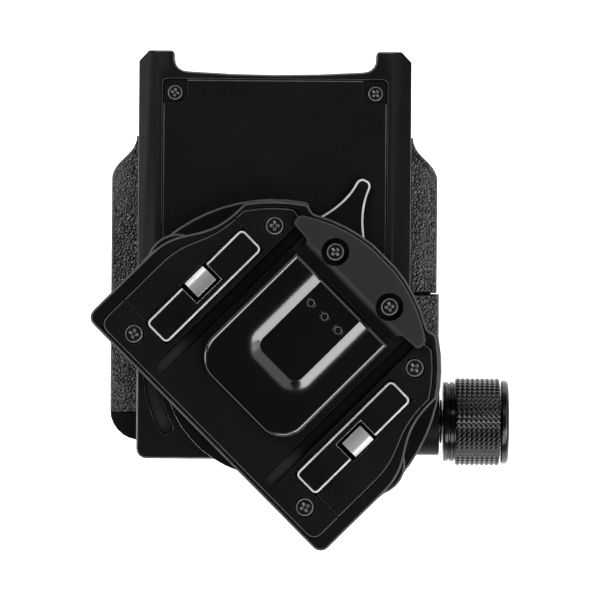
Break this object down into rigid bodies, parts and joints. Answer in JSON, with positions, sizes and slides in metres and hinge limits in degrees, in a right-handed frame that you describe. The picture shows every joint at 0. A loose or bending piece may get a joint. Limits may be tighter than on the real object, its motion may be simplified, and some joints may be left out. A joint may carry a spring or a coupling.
{
  "type": "alt azimuth mount",
  "caption": "Two-axis mount: a rear yoke with a knurled lock knob carries a tilting head, on which a turntable with a latching device plate turns.",
  "frame": {"origin": "on the azimuth axis, in the flat back face of the yoke, with the head folded flat", "axes": "+X along the altitude pin towards the lock knob, +Y up the head towards its horns, +Z out of the back face towards the device plate"},
  "size_m": [0.1074, 0.1276, 0.0413],
  "materials": {
    "frame_black": "fine matte black coating on the castings",
    "panel_black": "matte black, fine grain",
    "grip_pebble": "dark grey pebble grain",
    "smooth_black": "smooth satin black",
    "knob_black": "black anodised, knurled",
    "plate_black": "satin black with bright broken edges",
    "cover_speckle": "black, fine speckled grain",
    "rail_black": "satin black with bright edge lines",
    "tongue_gloss": "glossy black",
    "stop_grey": "matte dark grey",
    "grey_strip": "matte mid grey",
    "black_screw": "blackened steel",
    "steel": "plain ground steel",
    "brass": "plain brass"
  },
  "bodies": {
    "base": {"back_plate": "frame_black", "support_socket": "brass", "left_cheek": "frame_black", "right_cheek": "frame_black", "left_grip_pad": "grip_pebble", "right_grip_pad": "grip_pebble", "left_cheek_screw_1": "black_screw", "left_cheek_screw_2": "black_screw", "right_cheek_screw_1": "black_screw", "right_cheek_screw_2": "black_screw", "clamp_block": "grip_pebble", "clamp_boss": "smooth_black", "altitude_pin": "steel", "left_friction_washer": "brass", "right_friction_washer": "brass", "thrust_washer": "smooth_black"},
    "knob": {"lock_knob": "knob_black", "knob_cap": "knob_black"},
    "head": {"head_frame": "frame_black", "panel_cover": "panel_black", "left_panel_screw": "black_screw", "right_panel_screw": "black_screw", "left_slot_strip": "grey_strip", "right_slot_strip": "grey_strip", "left_altitude_bush": "brass", "right_altitude_bush": "brass", "azimuth_bush": "brass"},
    "turntable": {"turntable_disc": "plate_black", "carrier_plate": "plate_black", "front_plate": "plate_black", "face_cover": "cover_speckle", "left_side_cover": "cover_speckle", "right_side_cover": "cover_speckle", "left_guide_rail": "rail_black", "right_guide_rail": "rail_black", "left_channel_strip": "grey_strip", "right_channel_strip": "grey_strip", "left_stop_stud": "steel", "right_stop_stud": "steel", "left_pawl_spring": "steel", "right_pawl_spring": "steel", "cover_screw_1": "black_screw", "cover_screw_2": "black_screw", "cover_screw_3": "black_screw", "cover_screw_4": "black_screw", "tongue": "tongue_gloss", "crescent_stop": "stop_grey", "left_crescent_screw": "black_screw", "right_crescent_screw": "black_screw", "azimuth_spindle": "steel", "wave_washer": "steel", "spindle_nut": "steel", "lever_spring": "steel"},
    "lever": {"release_lever": "plate_black"},
    "left_latch": {"left_pawl": "steel"},
    "right_latch": {"right_pawl": "steel"}
  },
  "joints": [
    {"name": "altitude", "type": "hinge", "parent": "base", "child": "head", "pos_m": [0, -0.014, 0.012], "axis": [1, 0, 0], "range_deg": [0, 90]},
    {"name": "azimuth", "type": "hinge", "parent": "head", "child": "turntable", "pos_m": [0, 0, 0.03], "axis": [0, 0, 1], "range_deg": [0, 90]},
    {"name": "lever_swing", "type": "hinge", "parent": "turntable", "child": "lever", "pos_m": [0, 0, 0.0283], "axis": [0, 0, 1], "range_deg": [-38, 0], "stiffness_Nm_per_rad": 0.03, "springref_deg": 5.73, "deforming": ["lever_spring"]},
    {"name": "left_pawl_press", "type": "slide", "parent": "turntable", "child": "left_latch", "axis": [0, 0, -1], "range_m": [0, 0.0024], "deforming": ["left_pawl_spring"]},
    {"name": "right_pawl_press", "type": "slide", "parent": "turntable", "child": "right_latch", "axis": [0, 0, -1], "range_m": [0, 0.0024], "deforming": ["right_pawl_spring"]},
    {"name": "knob_turn", "type": "hinge", "parent": "base", "child": "knob", "pos_m": [0.05, -0.014, 0.012], "axis": [1, 0, 0], "range_deg": [0, 540]}
  ],
  "couplings": [
    {"joint": "left_pawl_press", "follows": "lever_swing", "m_per_rad": -0.0036183},
    {"joint": "right_pawl_press", "follows": "lever_swing", "m_per_rad": -0.0036183}
  ]
}
